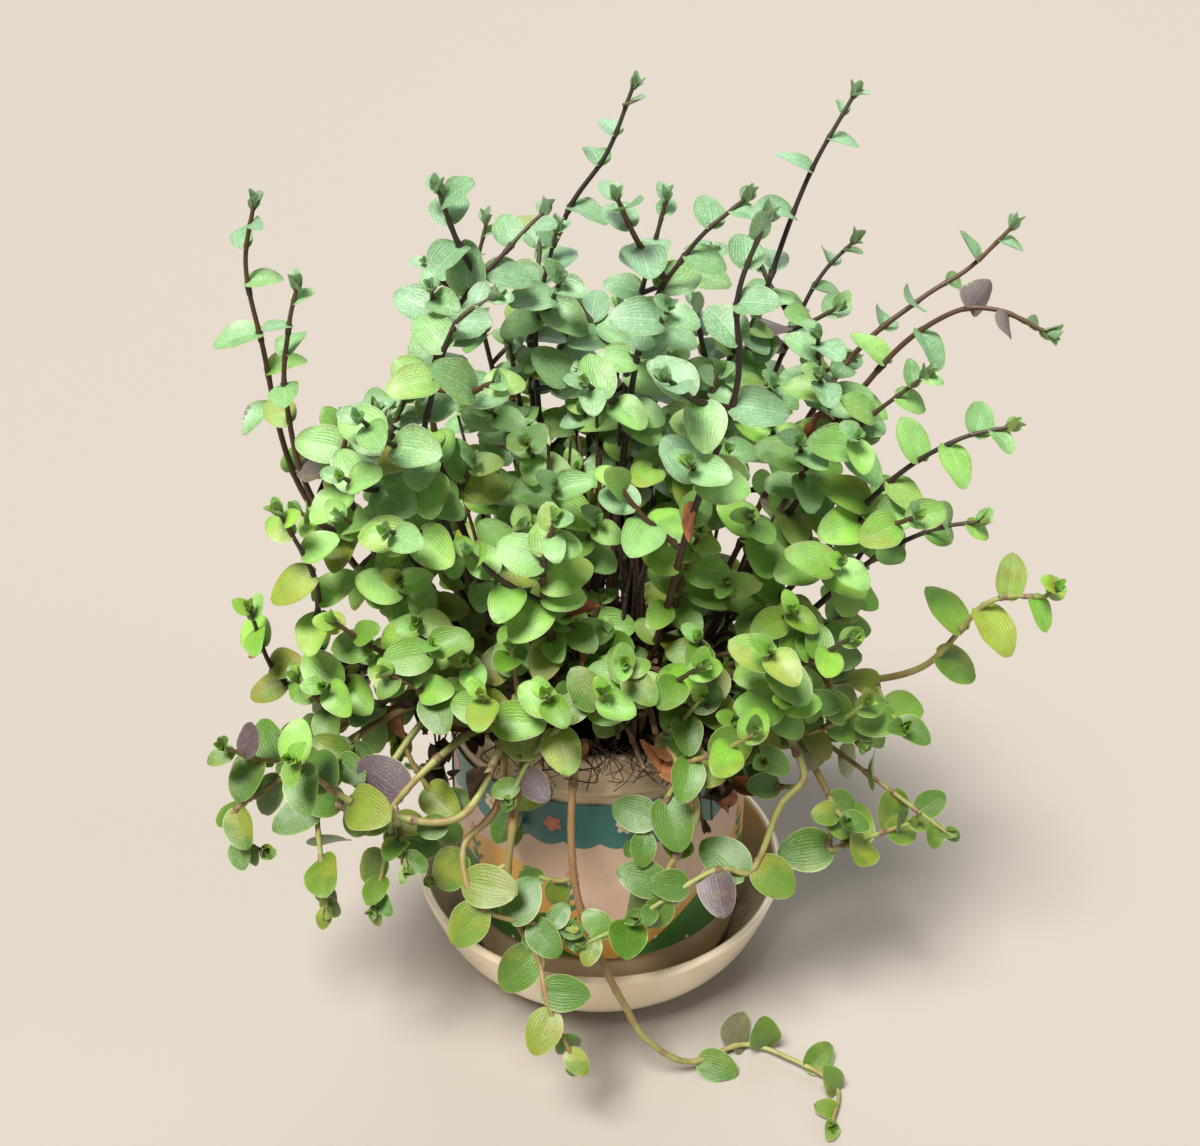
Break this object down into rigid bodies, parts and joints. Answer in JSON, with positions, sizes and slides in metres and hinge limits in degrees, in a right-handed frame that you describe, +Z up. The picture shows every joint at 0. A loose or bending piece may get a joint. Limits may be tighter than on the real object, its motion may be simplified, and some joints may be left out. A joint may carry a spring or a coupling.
{
  "type": "potted callisia",
  "caption": "Bushy creeping callisia with round leaves on thin stems, upright and trailing, in a round printed tub that stands in a footed saucer bowl.",
  "frame": {"origin": "middle of the flat underside of the saucer bowl, on the surface it stands on", "axes": "+Z up; -Y is the front, where the stems trail over the rim; +X is to the right seen from the front"},
  "size_m": [0.2602, 0.1805, 0.3014],
  "materials": {
    "dish_glaze": "satin",
    "pot_plastic": "satin",
    "sleeve_print": "satin",
    "soil": "matte",
    "callisia": "satin"
  },
  "bodies": {
    "root": {"dish": "dish_glaze", "pot": "pot_plastic", "printed_sleeve": "sleeve_print", "soil": "soil", "stem_arch_high": "callisia", "stem_arch_low": "callisia", "stem_arch_mid": "callisia", "stem_centre_back": "callisia", "stem_centre_tall": "callisia", "stem_crown_01": "callisia", "stem_crown_02": "callisia", "stem_crown_03": "callisia", "stem_crown_04": "callisia", "stem_crown_05": "callisia", "stem_crown_06": "callisia", "stem_crown_07": "callisia", "stem_crown_08": "callisia", "stem_crown_09": "callisia", "stem_crown_10": "callisia", "stem_crown_11": "callisia", "stem_crown_12": "callisia", "stem_crown_13": "callisia", "stem_crown_14": "callisia", "stem_crown_15": "callisia", "stem_front_arc": "callisia", "stem_front_cross": "callisia", "stem_front_drop": "callisia", "stem_front_left_rosette": "callisia", "stem_front_rosette": "callisia", "stem_front_slant": "callisia", "stem_front_tall": "callisia", "stem_front_thick": "callisia", "stem_left_big": "callisia", "stem_left_curl": "callisia", "stem_left_dip": "callisia", "stem_left_drop": "callisia", "stem_left_fill": "callisia", "stem_left_front_fill": "callisia", "stem_left_green": "callisia", "stem_left_hang": "callisia", "stem_left_low": "callisia", "stem_left_rosette": "callisia", "stem_left_second": "callisia", "stem_left_tall": "callisia", "stem_right_back": "callisia", "stem_right_dip": "callisia", "stem_right_drop": "callisia", "stem_right_fill": "callisia", "stem_right_flat": "callisia", "stem_right_long": "callisia", "stem_right_low": "callisia", "stem_right_reach": "callisia", "stem_right_short": "callisia", "stem_right_spread": "callisia", "stem_right_tall": "callisia", "stem_runner": "callisia", "stem_table_run": "callisia", "stem_top_fill": "callisia", "stem_top_middle": "callisia", "stem_top_right": "callisia"}
  },
  "joints": []
}
